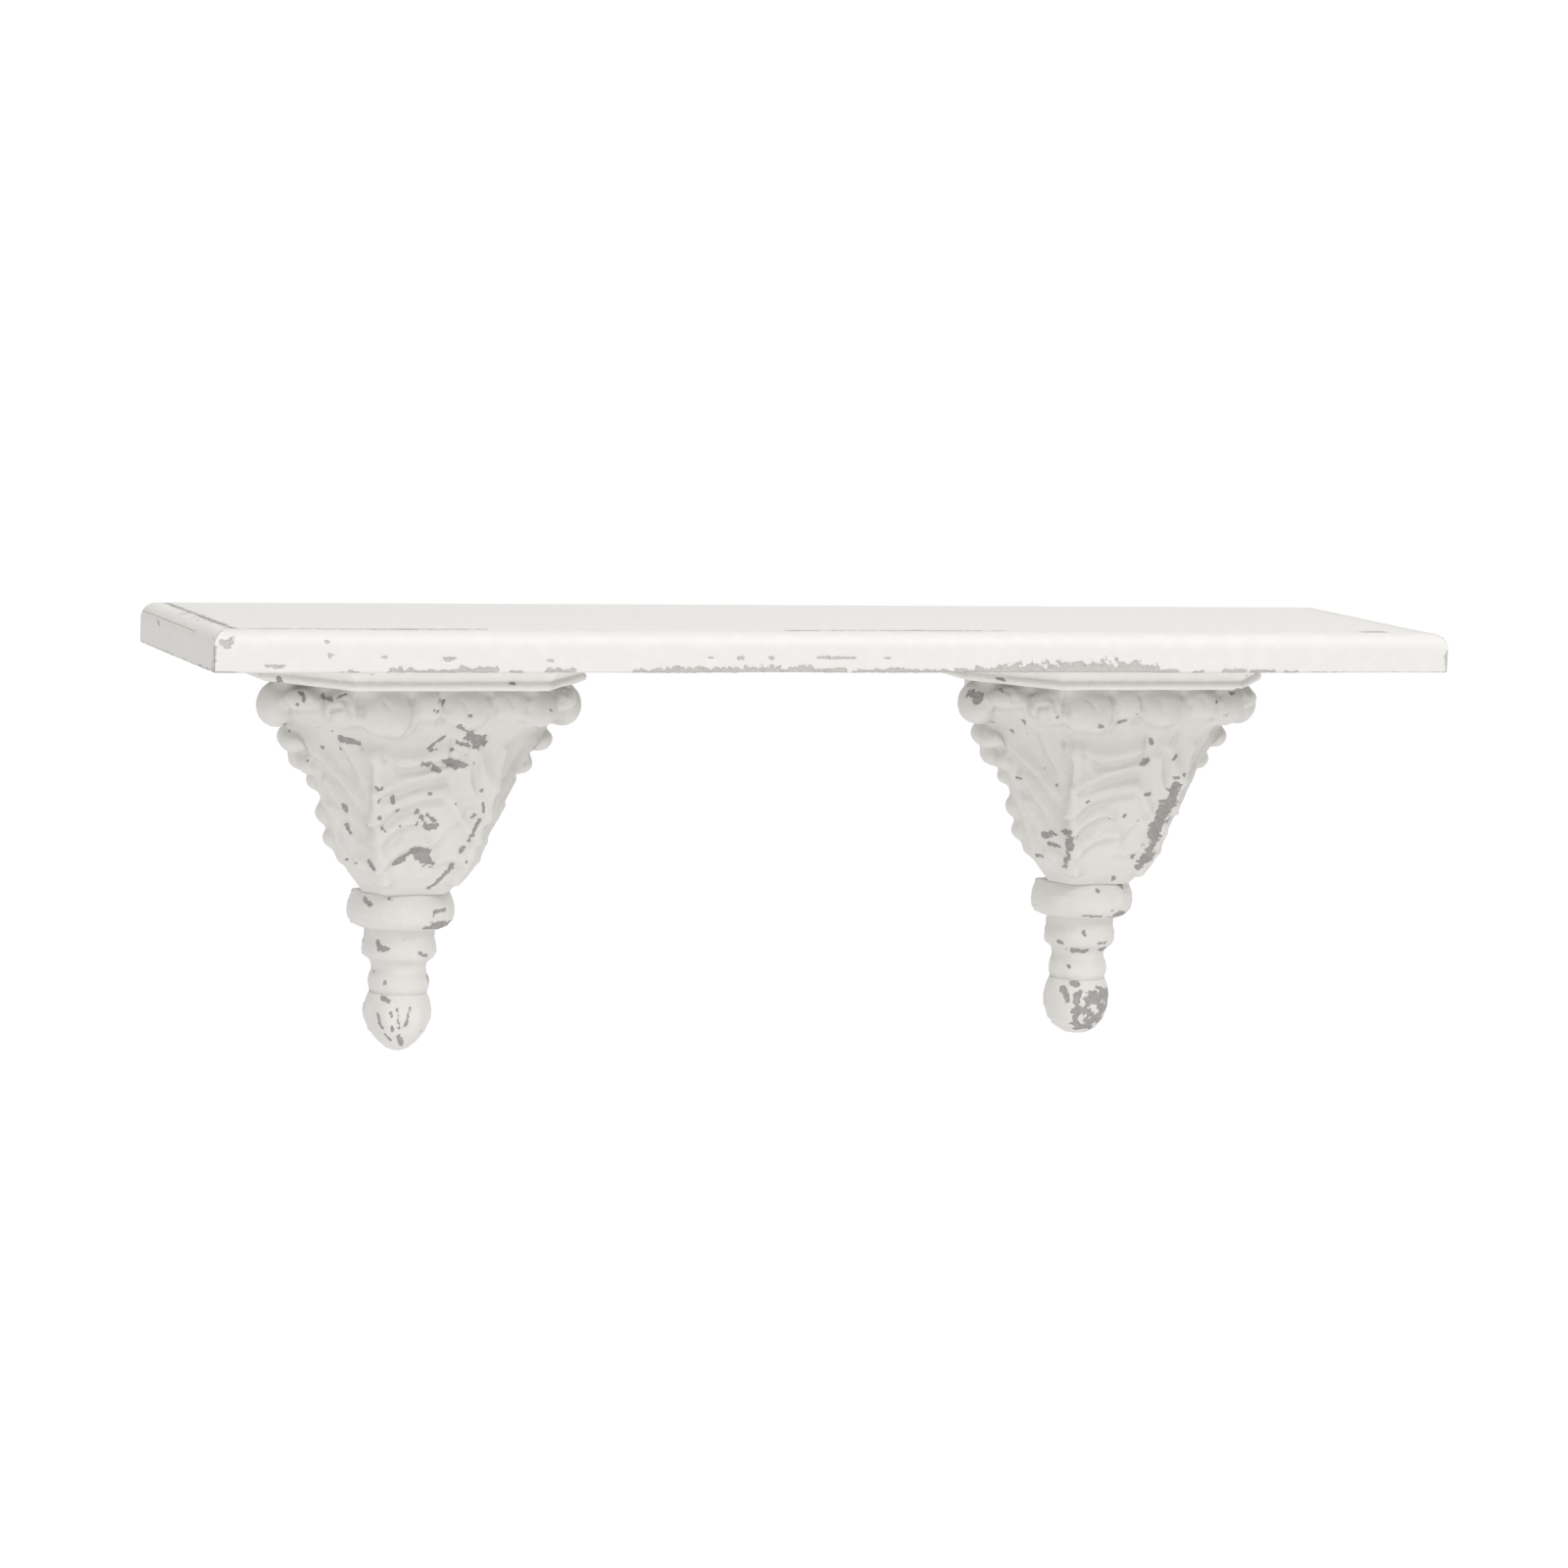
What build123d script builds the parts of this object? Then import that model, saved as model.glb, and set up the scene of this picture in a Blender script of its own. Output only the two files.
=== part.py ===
from build123d import *

import os
from math import atan2, degrees, radians, tan

# Wall shelf: a white painted board on two carved half-round corbels, in millimetres.
# +Z is up, the wall is the plane y = 0 and the shelf stands out from it towards -Y.
# The origin is on the wall plane, at the middle of the board's back edge.
# A corbel is drawn about x = 0 and set out to each side of the board at the end.

# Board: a flat panel with a rounded edging mitred round three sides.
board_length = 812.8
board_depth = 180.0
board_thickness = 25.4
edging_width = 16.0
edging_round = 15.0
edging_arris = 1.5
tongue_thickness = 6.0
tongue_depth = 6.0
tongue_clearance = 0.15

# Corbels: heights of the pieces from the board down, and where the pair sits.
corbel_spacing = 470.0
abacus_thickness = 19.5
bell_height = 135.5
collar_height = 24.6
drop_height = 41.5
finial_height = 37.5

# Abacus: half width at the sides, how far out the sides run, and the front.
abacus_wide_half = 113.0
abacus_wide_depth = 42.0
abacus_front_half = 67.0
abacus_depth = 112.0
abacus_fascia = 13.0
abacus_bevel_width = 9.0
abacus_corner_round = 4.0

# Bell: how far down each section lies as a share of the height, its widest half
# width, its front half width and its depth from the wall.
bell_sections = [
    (0.00, 87.0, 50.0, 95.0),
    (0.20, 79.0, 45.0, 93.0),
    (0.45, 68.0, 37.0, 90.0),
    (0.68, 59.0, 31.0, 80.0),
    (0.86, 49.0, 25.0, 63.0),
    (0.96, 39.0, 20.0, 49.0),
    (1.00, 31.0, 15.0, 40.0),
]
bell_wide_share = 0.35
bell_corner_share = 0.16

# Scrolls that carry the abacus corners, and the leaf tips between them.
scroll_radius = 14.5
scroll_length = 24.0
scroll_round = 5.0
wide_scroll_centre = (88.0, -42.0)
front_scroll_centre = (57.0, -92.0)
leaf_tip_radius = 13.0
front_tip_count = 3
front_tip_pitch = 27.0
front_tip_depth = 90.0
side_tip_centre = (71.0, -68.0)
side_lobes = [(75.0, 12.5, 0.30), (56.0, 10.0, 0.53)]

# Turned pieces: they are turned whole and sawn off at the wall plane, with the
# turning axis a little way in front of the wall.
turning_axis_depth = 5.0
collar_radius = 35.0
collar_top_radius = 29.0
collar_foot_radius = 25.0
neck_radius = 22.0
upper_bead_radius = 24.5
waist_radius = 16.8
lower_bead_radius = 20.0
drop_foot_radius = 17.5
upper_bead_drop = 15.0
lower_bead_drop = 36.0

# Finials: radii of the bud at three shares of its height, one pair pointed, one blunt.
bud_shares = (0.30, 0.68, 0.90)
pointed_bud = (22.0, 15.5, 6.5)
blunt_bud = (22.5, 18.5, 11.5)

# Wood screws that hold each abacus up to the board from below.
countersink_angle = 82.0
screw_radius = 2.0
screw_clearance = 0.25
screw_length = 32.0
screw_head_radius = 4.0
screw_places = [(-58.0, -36.0), (58.0, -36.0)]

# Dowels: two short ones between abacus and bell, one long one down the drop.
short_dowel_radius = 4.0
short_dowel_in_abacus = 11.0
short_dowel_in_bell = 18.0
short_dowel_places = [(-30.0, -58.0), (30.0, -58.0)]
long_dowel_radius = 4.0
long_dowel_depth = 14.5
long_dowel_in_bell = 26.0
long_dowel_in_finial = 15.0
dowel_clearance = 0.1
dowel_end_gap = 1.0

# Keyhole plate let into the back board of each bell, with a pocket cut through behind
# it. The back board is as thick as the plate and the pocket together.
plate_width = 18.0
plate_height = 46.0
plate_thickness = 1.5
plate_fit = 0.15
plate_drop = 42.0
entry_radius = 4.75
slot_width = 4.6
slot_travel = 11.0
entry_below_centre = 7.0
pocket_depth = 8.0
pocket_margin = 1.75
plate_screw_radius = 1.5
plate_screw_length = 16.0
plate_screw_head_radius = 2.7
plate_screw_pitch = 38.0

# Levels worked out from the heights above.
half_length = board_length / 2
board_top = board_thickness / 2
board_under = -board_thickness / 2
abacus_under = board_under - abacus_thickness
bell_under = abacus_under - bell_height
collar_under = bell_under - collar_height
drop_under = collar_under - drop_height
finial_tip = drop_under - finial_height
panel_length = board_length - 2 * edging_width
panel_depth = board_depth - edging_width
bracket_sides = {"left": -corbel_spacing / 2, "right": corbel_spacing / 2}
turning_axis = Axis((0, -turning_axis_depth, 0), (0, 0, 1))
head_slope = tan(radians(countersink_angle / 2))
plate_centre = abacus_under - plate_drop
back_board_thickness = plate_thickness + pocket_depth
entry_level = plate_centre - entry_below_centre
wall_face = Plane.XZ
back_joint = Plane.XZ.offset(back_board_thickness)


os.makedirs("parts", exist_ok=True)


def save(piece, name):
    """Labels a finished sub-part and writes it under its node name."""
    piece.label = name
    export_step(piece, f"parts/{name}.step")
    print(name, "solids", len(piece.solids()), "volume", round(piece.volume))


def turning_plane():
    """Vertical plane through the turning axis, where the turned profiles are drawn."""
    return Plane(origin=(0, -turning_axis_depth, 0), x_dir=(1, 0, 0), z_dir=(0, -1, 0))


def saw_at_wall():
    """Cuts the piece being built at the wall plane and keeps the front of it."""
    split(bisect_by=wall_face, keep=Keep.TOP)


# ---------------------------------------------------------------- board


def edging_section(panel_side, outer_side):
    """Section of the edging: quarter round outside, square at the panel, with a tongue."""
    inward = 1 if panel_side > outer_side else -1
    tongue_end = panel_side + inward * tongue_depth
    with BuildLine() as outline:
        over = (outer_side + inward * edging_round, board_top)
        side = (outer_side, board_top - edging_round)
        foot = (outer_side, board_under + edging_arris)
        RadiusArc(side, over, inward * edging_round)
        Polyline(over, (panel_side, board_top), (panel_side, tongue_thickness / 2))
        Polyline(
            (panel_side, tongue_thickness / 2),
            (tongue_end, tongue_thickness / 2),
            (tongue_end, -tongue_thickness / 2),
            (panel_side, -tongue_thickness / 2),
        )
        Polyline(
            (panel_side, -tongue_thickness / 2),
            (panel_side, board_under),
            (outer_side + inward * edging_arris, board_under),
            foot,
            side,
        )
    make_face(outline.edges())


def mitre(side, normal_y):
    """Vertical 45 degree plane through a front corner of the board."""
    corner = (side * half_length, -board_depth, 0)
    return Plane(origin=corner, x_dir=(0, 0, 1), z_dir=(side * normal_y, normal_y, 0))


with BuildPart() as shelf_panel:
    with BuildSketch(Plane.XY.offset(board_under)):
        with Locations((0, -panel_depth / 2)):
            Rectangle(panel_length, panel_depth)
    extrude(amount=board_thickness)
    groove_depth = tongue_depth + tongue_clearance
    groove_height = tongue_thickness + 2 * tongue_clearance
    with BuildSketch(Plane.XY.offset(-groove_height / 2)):
        with Locations((0, -panel_depth / 2)):
            Rectangle(panel_length, panel_depth)
        with Locations((0, -(panel_depth - groove_depth) / 2)):
            Rectangle(
                panel_length - 2 * groove_depth,
                panel_depth - groove_depth,
                mode=Mode.SUBTRACT,
            )
    extrude(amount=groove_height, mode=Mode.SUBTRACT)
    screw_bite = screw_length - abacus_thickness
    with Locations(Plane.XY.offset(board_under)):
        for corbel_x in bracket_sides.values():
            with Locations([(corbel_x + x, y) for x, y in screw_places]):
                Cylinder(
                    screw_radius,
                    screw_bite,
                    align=(Align.CENTER, Align.CENTER, Align.MIN),
                    mode=Mode.SUBTRACT,
                )
save(shelf_panel.part, "shelf_panel")

with BuildPart() as front_edging:
    with BuildSketch(Plane.YZ):
        edging_section(-panel_depth, -board_depth)
    extrude(amount=half_length, both=True)
    for side in (-1, 1):
        split(bisect_by=mitre(side, -1), keep=Keep.TOP)
save(front_edging.part, "front_edging")

for side, name in ((-1, "left_edging"), (1, "right_edging")):
    with BuildPart() as end_edging:
        with BuildSketch(Plane.XZ):
            edging_section(side * panel_length / 2, side * half_length)
        extrude(amount=board_depth)
        split(bisect_by=mitre(side, 1), keep=Keep.TOP)
    save(end_edging.part, name)


# ---------------------------------------------------------------- abacus

with BuildPart() as abacus:
    with BuildSketch(Plane.XY.offset(board_under)) as abacus_plan:
        with BuildLine():
            Polyline(
                (abacus_wide_half, -abacus_wide_depth),
                (abacus_front_half, -abacus_depth),
                (-abacus_front_half, -abacus_depth),
                (-abacus_wide_half, -abacus_wide_depth),
                (-abacus_wide_half, abacus_wide_depth),
                (-abacus_front_half, abacus_depth),
                (abacus_front_half, abacus_depth),
                (abacus_wide_half, abacus_wide_depth),
                close=True,
            )
        make_face()
        fillet(abacus_plan.vertices(), radius=abacus_corner_round)
    extrude(amount=-abacus_fascia)
    bevel_height = abacus_thickness - abacus_fascia
    bevel_angle = degrees(atan2(abacus_bevel_width, bevel_height))
    extrude(abacus.faces().sort_by(Axis.Z)[0], amount=bevel_height, taper=bevel_angle)
    saw_at_wall()
    with Locations(Plane.XY.offset(abacus_under)):
        with Locations(Plane.XY.rotated((180, 0, 0))):
            with Locations([(x, -y) for x, y in screw_places]):
                CounterSinkHole(
                    screw_radius + screw_clearance,
                    screw_head_radius + screw_clearance,
                    depth=abacus_thickness,
                    counter_sink_angle=countersink_angle,
                )
        with Locations(short_dowel_places):
            Cylinder(
                short_dowel_radius + dowel_clearance,
                short_dowel_in_abacus,
                align=(Align.CENTER, Align.CENTER, Align.MIN),
                mode=Mode.SUBTRACT,
            )


# ---------------------------------------------------------------- bell


def head_height(head_radius, shank_radius):
    """Height of a countersunk head between its two radii."""
    return (head_radius - shank_radius) / head_slope


def plate_screw_heads():
    """Countersinks for the plate screws' heads, cut in the piece being built."""
    with Locations(wall_face):
        with Locations((0, plate_centre)):
            with GridLocations(1, plate_screw_pitch, 1, 2):
                Cone(
                    plate_screw_head_radius + plate_fit,
                    plate_screw_radius + plate_fit,
                    head_height(plate_screw_head_radius, plate_screw_radius),
                    align=(Align.CENTER, Align.CENTER, Align.MIN),
                    mode=Mode.SUBTRACT,
                )


def bell_outline(wide_half, front_half, depth):
    """Plan of the bell at one level: canted sides, mirrored behind the wall plane."""
    wide_depth = bell_wide_share * depth
    corner = bell_corner_share * depth
    with BuildLine() as outline:
        Polyline(
            (wide_half, -wide_depth),
            (front_half, -depth),
            (-front_half, -depth),
            (-wide_half, -wide_depth),
            (-wide_half, wide_depth),
            (-front_half, depth),
            (front_half, depth),
            (wide_half, wide_depth),
            close=True,
        )
    face = make_face(outline.edges())
    fillet(face.vertices(), radius=corner)


def plate_screw_holes(radius):
    """Holes for the plate screws' shanks, cut in the piece being built."""
    with Locations(wall_face):
        with Locations((0, plate_centre)):
            with GridLocations(1, plate_screw_pitch, 1, 2):
                Cylinder(
                    radius,
                    plate_screw_length,
                    align=(Align.CENTER, Align.CENTER, Align.MIN),
                    mode=Mode.SUBTRACT,
                )


def scroll_plane(centre):
    """Plane square to a scroll's axis, which lies level and across its outward way."""
    outward = Vector(centre[0], centre[1], 0).normalized()
    across = Vector(-outward.Y, outward.X, 0)
    middle = Vector(centre[0], centre[1], abacus_under - scroll_radius)
    return Plane(origin=middle, x_dir=outward, z_dir=across)


with BuildPart() as bell:
    for share, wide_half, front_half, depth in bell_sections:
        with BuildSketch(Plane.XY.offset(abacus_under - share * bell_height)):
            bell_outline(wide_half, front_half, depth)
    loft(ruled=True)
    for centre_x, centre_y in (wide_scroll_centre, front_scroll_centre):
        for side in (-1, 1):
            with BuildSketch(scroll_plane((side * centre_x, centre_y))):
                Circle(scroll_radius)
            extrude(amount=scroll_length / 2, both=True)
    tip_level = abacus_under - leaf_tip_radius
    with Locations((0, -front_tip_depth, tip_level)):
        with GridLocations(front_tip_pitch, 1, front_tip_count, 1):
            Sphere(leaf_tip_radius)
    for side in (-1, 1):
        with Locations((side * side_tip_centre[0], side_tip_centre[1], tip_level)):
            Sphere(leaf_tip_radius)
        for centre_x, radius, share in side_lobes:
            lobe_level = abacus_under - share * bell_height
            with Locations((side * centre_x, -bell_wide_share * centre_x, lobe_level)):
                Sphere(radius)
    split(bisect_by=back_joint, keep=Keep.TOP)
    with Locations(Plane.XY.offset(abacus_under)):
        with Locations(short_dowel_places):
            Cylinder(
                short_dowel_radius + dowel_clearance,
                short_dowel_in_bell,
                align=(Align.CENTER, Align.CENTER, Align.MAX),
                mode=Mode.SUBTRACT,
            )
    with Locations((0, -long_dowel_depth, bell_under)):
        Cylinder(
            long_dowel_radius + dowel_clearance,
            long_dowel_in_bell,
            align=(Align.CENTER, Align.CENTER, Align.MIN),
            mode=Mode.SUBTRACT,
        )
    plate_screw_holes(plate_screw_radius)

with BuildPart() as back_board:
    board_outline = []
    for share, wide_half, front_half, depth in bell_sections:
        board_outline.append((wide_half, abacus_under - share * bell_height))
    board_outline += [(-half, level) for half, level in reversed(board_outline)]
    with BuildSketch(wall_face):
        with BuildLine():
            Polyline(*board_outline, close=True)
        make_face()
    extrude(amount=back_board_thickness)
    with BuildSketch(wall_face):
        with Locations((0, plate_centre)):
            SlotOverall(plate_height + 2 * plate_fit, plate_width + 2 * plate_fit, rotation=90)
    extrude(amount=plate_thickness, mode=Mode.SUBTRACT)
    pocket_width = 2 * (entry_radius + pocket_margin)
    pocket_height = slot_travel + pocket_width
    with BuildSketch(wall_face):
        with Locations((0, entry_level + slot_travel / 2)):
            RectangleRounded(pocket_width, pocket_height, pocket_margin)
    extrude(amount=back_board_thickness, mode=Mode.SUBTRACT)
    plate_screw_heads()
    plate_screw_holes(plate_screw_radius)


# ---------------------------------------------------------------- turned drop


def dowel_hole(bottom, top):
    """Hole for the long dowel through the turned piece being built."""
    with Locations((0, -long_dowel_depth, bottom)):
        Cylinder(
            long_dowel_radius + dowel_clearance,
            top - bottom,
            align=(Align.CENTER, Align.CENTER, Align.MIN),
            mode=Mode.SUBTRACT,
        )


with BuildPart() as collar:
    with BuildSketch(turning_plane()):
        with BuildLine():
            widest = (collar_radius, bell_under - 0.55 * collar_height)
            Polyline((collar_foot_radius, collar_under), (0, collar_under), (0, bell_under))
            Polyline((0, bell_under), (collar_top_radius, bell_under))
            Spline((collar_top_radius, bell_under), widest, (collar_foot_radius, collar_under))
        make_face()
    revolve(axis=turning_axis)
    saw_at_wall()
    dowel_hole(collar_under, bell_under)

with BuildPart() as drop:
    with BuildSketch(turning_plane()):
        upper_bead = collar_under - upper_bead_drop
        lower_bead = collar_under - lower_bead_drop
        with BuildLine():
            Polyline((drop_foot_radius, drop_under), (0, drop_under), (0, collar_under))
            Line((0, collar_under), (neck_radius + 1, collar_under))
            Spline(
                (neck_radius + 1, collar_under),
                (neck_radius, collar_under - upper_bead_drop / 3),
                (upper_bead_radius, upper_bead),
                (waist_radius, (upper_bead + lower_bead) / 2),
                (lower_bead_radius, lower_bead),
                (drop_foot_radius, drop_under),
            )
        make_face()
    revolve(axis=turning_axis)
    saw_at_wall()
    dowel_hole(drop_under, collar_under)


def make_finial(bud_radii):
    """Bud at the foot of a corbel, with its radii at the three shares given."""
    outline_points = [(drop_foot_radius, drop_under)]
    for share, radius in zip(bud_shares, bud_radii):
        outline_points.append((radius, drop_under - share * finial_height))
    outline_points.append((0, finial_tip))
    with BuildPart() as bud:
        with BuildSketch(turning_plane()):
            with BuildLine():
                Polyline((0, finial_tip), (0, drop_under), (drop_foot_radius, drop_under))
                Spline(*outline_points)
            make_face()
        revolve(axis=turning_axis)
        saw_at_wall()
        dowel_hole(drop_under - long_dowel_in_finial, drop_under)
    return bud.part


# ---------------------------------------------------------------- dowels and metal

with BuildPart() as short_dowels:
    short_dowel_length = short_dowel_in_abacus + short_dowel_in_bell - 2 * dowel_end_gap
    short_dowel_foot = abacus_under - short_dowel_in_bell + dowel_end_gap
    with BuildSketch(Plane.XY.offset(short_dowel_foot)):
        with Locations(short_dowel_places):
            Circle(short_dowel_radius)
    extrude(amount=short_dowel_length)

with BuildPart() as long_dowel:
    long_dowel_top = bell_under + long_dowel_in_bell - dowel_end_gap
    long_dowel_foot = drop_under - long_dowel_in_finial + dowel_end_gap
    with BuildSketch(Plane.XY.offset(long_dowel_foot)):
        with Locations((0, -long_dowel_depth)):
            Circle(long_dowel_radius)
    extrude(amount=long_dowel_top - long_dowel_foot)


def screw_profile(shank_radius, head_radius, length):
    """Half section of a countersunk screw: head at height 0, point upwards."""
    with BuildLine() as outline:
        Polyline(
            (0, 0),
            (head_radius, 0),
            (shank_radius, head_height(head_radius, shank_radius)),
            (shank_radius, length - 2 * shank_radius),
            (0, length),
            close=True,
        )
    make_face(outline.edges())


with BuildPart() as one_abacus_screw:
    with BuildSketch(Plane.XZ):
        screw_profile(screw_radius, screw_head_radius, screw_length)
    revolve(axis=Axis.Z)

with BuildPart() as one_plate_screw:
    with BuildSketch(Plane.XZ):
        screw_profile(plate_screw_radius, plate_screw_head_radius, plate_screw_length)
    revolve(axis=Axis.Z)

with BuildPart() as abacus_screws:
    with Locations([(x, y, abacus_under) for x, y in screw_places]):
        add(one_abacus_screw.part)

with BuildPart() as plate_screws:
    for end in (-1, 1):
        with Locations((0, 0, plate_centre + end * plate_screw_pitch / 2)):
            add(one_plate_screw.part, rotation=(90, 0, 0))

with BuildPart() as hanger_plate:
    with BuildSketch(wall_face):
        with Locations((0, plate_centre)):
            SlotOverall(plate_height, plate_width, rotation=90)
        with Locations((0, entry_level)):
            Circle(entry_radius, mode=Mode.SUBTRACT)
        with Locations((0, entry_level + slot_travel / 2)):
            Rectangle(slot_width, slot_travel, mode=Mode.SUBTRACT)
        with Locations((0, entry_level + slot_travel)):
            Circle(slot_width / 2, mode=Mode.SUBTRACT)
    extrude(amount=plate_thickness)
    plate_screw_heads()
    plate_screw_holes(plate_screw_radius + plate_fit)


# ---------------------------------------------------------------- both corbels

corbel_pieces = {
    "abacus": abacus.part,
    "abacus_screws": abacus_screws.part,
    "bell": bell.part,
    "back_board": back_board.part,
    "bell_dowels": short_dowels.part,
    "collar": collar.part,
    "drop": drop.part,
    "drop_dowel": long_dowel.part,
    "hanger_plate": hanger_plate.part,
    "hanger_screws": plate_screws.part,
}
finials = {
    "left": make_finial(pointed_bud),
    "right": make_finial(blunt_bud),
}

for side, corbel_x in bracket_sides.items():
    for piece_name, piece in corbel_pieces.items():
        save(Pos(corbel_x, 0, 0) * piece, f"{side}_{piece_name}")
    save(Pos(corbel_x, 0, 0) * finials[side], f"{side}_finial")
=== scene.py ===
import math

import bmesh
import bpy
import numpy as np
from mathutils import Matrix, Vector, noise


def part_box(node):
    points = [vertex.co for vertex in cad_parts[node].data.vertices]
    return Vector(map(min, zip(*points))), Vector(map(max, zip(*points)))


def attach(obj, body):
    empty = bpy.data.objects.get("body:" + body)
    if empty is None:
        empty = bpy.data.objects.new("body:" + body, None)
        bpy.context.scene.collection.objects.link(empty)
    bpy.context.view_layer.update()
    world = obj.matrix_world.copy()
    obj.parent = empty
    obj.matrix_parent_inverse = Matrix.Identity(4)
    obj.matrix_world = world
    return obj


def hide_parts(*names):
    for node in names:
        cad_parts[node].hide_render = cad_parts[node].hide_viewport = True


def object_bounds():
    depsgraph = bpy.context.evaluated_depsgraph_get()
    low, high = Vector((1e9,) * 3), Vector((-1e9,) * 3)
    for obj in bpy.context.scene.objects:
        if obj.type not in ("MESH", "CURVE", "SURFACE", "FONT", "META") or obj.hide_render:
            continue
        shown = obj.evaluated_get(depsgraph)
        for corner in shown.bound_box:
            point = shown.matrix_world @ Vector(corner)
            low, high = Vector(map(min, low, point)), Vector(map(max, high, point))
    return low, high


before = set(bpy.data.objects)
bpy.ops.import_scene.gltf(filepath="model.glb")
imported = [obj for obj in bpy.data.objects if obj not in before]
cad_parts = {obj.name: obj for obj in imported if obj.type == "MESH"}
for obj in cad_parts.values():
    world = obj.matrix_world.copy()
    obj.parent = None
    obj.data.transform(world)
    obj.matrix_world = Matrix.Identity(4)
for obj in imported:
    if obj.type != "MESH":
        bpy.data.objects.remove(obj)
cad_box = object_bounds()
MM = 0.001


# ------------------------------------------------------------------ front edging
# The board's rounded edging is a separate strip of softwood, run to a quarter round,
# glued to the panel on a tongue and mitred at the corners. The paint is thick and
# white and has broken away along the lower edge, where things have knocked it.

edging_width = 16 * MM
edging_round = 15 * MM
edging_arris = 1.4 * MM
seam_round = 0.45 * MM
seam_slice = 0.8 * MM
fine_slice = 1.6 * MM
tongue_half = 3 * MM
tongue_depth = 6 * MM
sharp_angle = math.radians(50)
half_length = cad_box[1].x
board_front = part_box("front_edging")[0].y
board_under, board_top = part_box("front_edging")[0].z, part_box("front_edging")[1].z


def edges_along(bm, axis, test):
    """Edges parallel to an axis whose middle passes the test."""
    found = []
    for edge in bm.edges:
        run = edge.verts[1].co - edge.verts[0].co
        middle = (edge.verts[0].co + edge.verts[1].co) / 2
        if abs(run.normalized()[axis]) > 0.999 and test(middle):
            found.append(edge)
    return found


def round_edges(bm, edges, size, segments):
    """Rounds a set of edges over to a radius."""
    bmesh.ops.bevel(bm, geom=edges, offset=size, affect="EDGES", segments=segments,
                    profile=0.5, material=-1, clamp_overlap=True)


def cut(bm, point, normal, clear=False):
    """Cuts the mesh on a plane. With clear, the far side is thrown away and the cut is closed."""
    everything = bm.verts[:] + bm.edges[:] + bm.faces[:]
    made = bmesh.ops.bisect_plane(bm, geom=everything, dist=1e-7, plane_co=point,
                                  plane_no=normal, clear_outer=clear)
    if clear:
        rim = [e for e in made["geom_cut"] if isinstance(e, bmesh.types.BMEdge)]
        bmesh.ops.holes_fill(bm, edges=rim)


def slice_every(bm, axis, step):
    """Cuts the mesh into thin slices along an axis, so that it can be worn and painted."""
    places = [v.co[axis] for v in bm.verts]
    low, high = min(places), max(places)
    count = max(1, round((high - low) / step))
    normal = Vector((0, 0, 0))
    normal[axis] = 1
    for i in range(1, count):
        point = Vector((0, 0, 0))
        point[axis] = low + (high - low) * i / count
        cut(bm, point, normal)


def finish_mesh(bm, name):
    """Turns a bmesh into a smooth-shaded object with its normals outward."""
    bmesh.ops.remove_doubles(bm, verts=bm.verts[:], dist=1e-6)
    bmesh.ops.recalc_face_normals(bm, faces=bm.faces[:])
    mesh = bpy.data.meshes.new(name)
    bm.to_mesh(mesh)
    bm.free()
    mesh.shade_smooth()
    mesh.set_sharp_from_angle(angle=sharp_angle)
    piece = bpy.data.objects.new(name, mesh)
    bpy.context.scene.collection.objects.link(piece)
    return piece


def points_of(piece):
    """Vertex positions of a piece as an array."""
    places = np.empty(len(piece.data.vertices) * 3)
    piece.data.vertices.foreach_get("co", places)
    return places.reshape(-1, 3)


def normals_of(piece):
    """Vertex normals of a piece as an array."""
    normals = np.empty(len(piece.data.vertices) * 3)
    piece.data.vertices.foreach_get("normal", normals)
    return normals.reshape(-1, 3)


def move_points(piece, places):
    """Puts new vertex positions into a piece."""
    piece.data.vertices.foreach_set("co", places.reshape(-1))
    piece.data.update()


def unevenness(places, size, seed):
    """Soft noise from -1 to 1 with humps of about the size given."""
    shift = Vector((seed * 7.3, seed * 3.1, seed * 5.7))
    return np.array([noise.noise(Vector(p) / size + shift) for p in places])


def hand_work(piece, amount, size, seed):
    """Makes a surface slightly uneven, inwards only, as hand tools and brushed paint leave it."""
    places, normals = points_of(piece), normals_of(piece)
    depth = amount * np.clip(0.5 + 0.5 * unevenness(places, size, seed), 0, 1)
    move_points(piece, places - normals * depth[:, None])


def segment_distance(places, start, end):
    """Distance of every point from a straight stretch."""
    start, end = np.array(start), np.array(end)
    run = end - start
    share = np.clip((places - start) @ run / max(run @ run, 1e-12), 0, 1)
    return np.linalg.norm(places - start - share[:, None] * run, axis=1)


def write_attribute(piece, name, values):
    """Stores one number per vertex for the material to read."""
    layer = piece.data.attributes.new(name, "FLOAT", "POINT")
    layer.data.foreach_set("value", values.astype(np.float32))


def wear_away(piece, marks, depth=0.35 * MM):
    """Marks where paint has come off: each mark is (start, end, radius). The paint sinks there.
    Each mark is bent a little along its way and its rim is made ragged."""
    bend_size, bend_share = 5 * MM, 0.55
    rag_size, rag_share = 2.4 * MM, 0.5
    sink_start, sink_ramp = 0.45, 0.2
    places, normals = points_of(piece), normals_of(piece)
    worn = np.zeros(len(places))
    for start, end, radius in marks:
        near = np.flatnonzero(segment_distance(places, start, end) < 2 * radius + 2 * MM)
        if not len(near):
            continue
        bend = np.array([noise.noise_vector(Vector(places[i]) / bend_size) for i in near])
        bent = places[near] + bend * bend_share * radius
        worn[near] = np.maximum(worn[near], 1 - segment_distance(bent, start, end) / (2 * radius))
    for i in np.flatnonzero(worn > 0.15):
        worn[i] += rag_share * noise.noise(Vector(places[i]) / rag_size)
    worn = np.clip(worn, 0, 1)
    write_attribute(piece, "worn", worn)
    sunk = np.clip((worn - sink_start) / sink_ramp, 0, 1)
    move_points(piece, places - normals * (depth * sunk)[:, None])


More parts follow.
